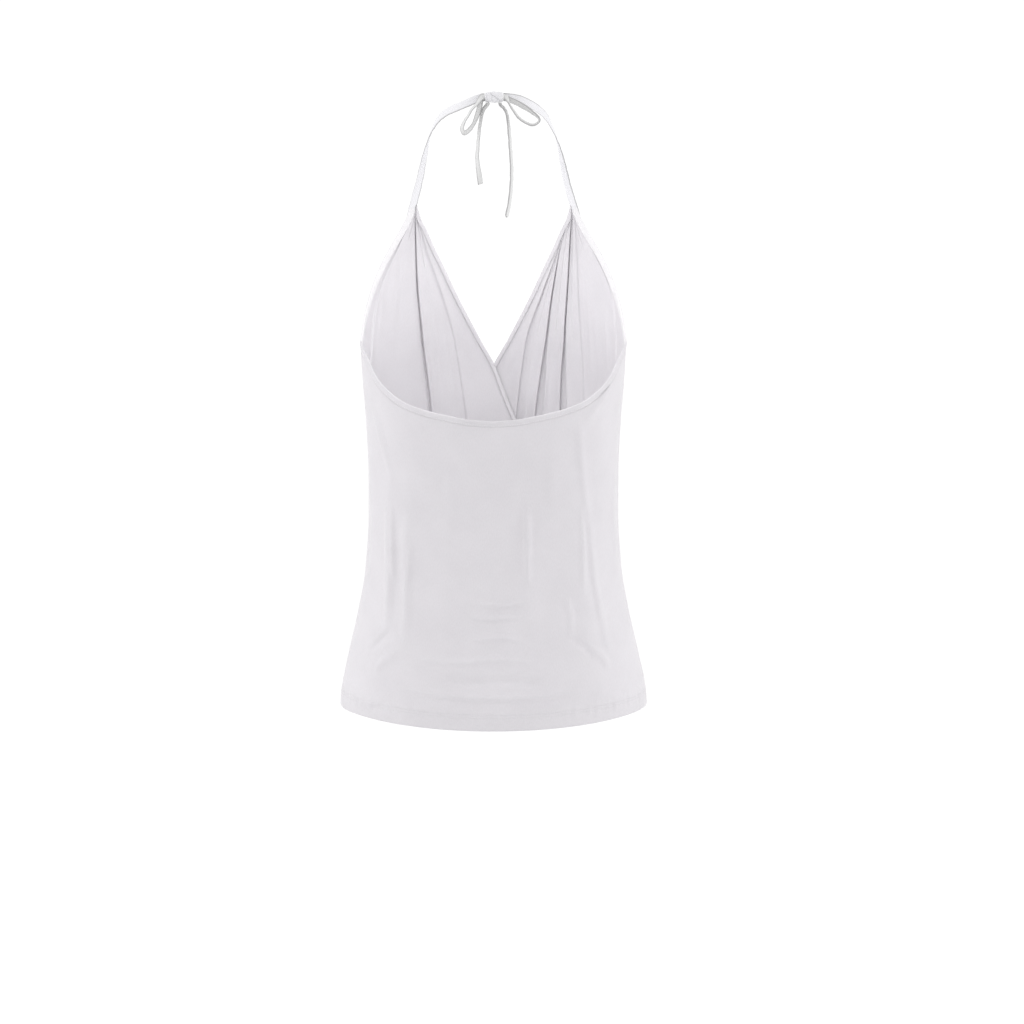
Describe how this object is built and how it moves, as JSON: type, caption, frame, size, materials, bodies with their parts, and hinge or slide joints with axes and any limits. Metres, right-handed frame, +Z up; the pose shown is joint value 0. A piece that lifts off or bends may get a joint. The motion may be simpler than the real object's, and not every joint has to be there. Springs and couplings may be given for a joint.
{
  "type": "halter neck top",
  "caption": "Sleeveless halter neck top held out as worn, with a pleated crossover front, low scooped back, bound edges and ties in a bow at the nape.",
  "frame": {"origin": "middle of the nape, on the inner side of the bow's knot, where the wearer's neck carries the straps", "axes": "+Z up along the wearer, +X to the wearer's left, the front of the garment towards -Y and its back towards +Y"},
  "size_m": [0.3424, 0.228, 0.6808],
  "materials": {
    "cloth": "off-white satin-faced jersey with a very fine diagonal grain and a soft sheen",
    "binding": "the same cloth cut narrow and folded, slightly brighter, edge stitched"
  },
  "bodies": {
    "root": {"back_panel": "cloth", "front_panel_left": "cloth", "front_panel_right": "cloth", "armhole_binding_left": "binding", "armhole_binding_right": "binding", "back_neck_binding": "binding", "strap_left": "binding", "strap_right": "binding", "knot": "binding", "bow_loop_left": "binding", "bow_loop_right": "binding", "tie_end_left": "binding", "tie_end_right": "binding"}
  },
  "joints": []
}
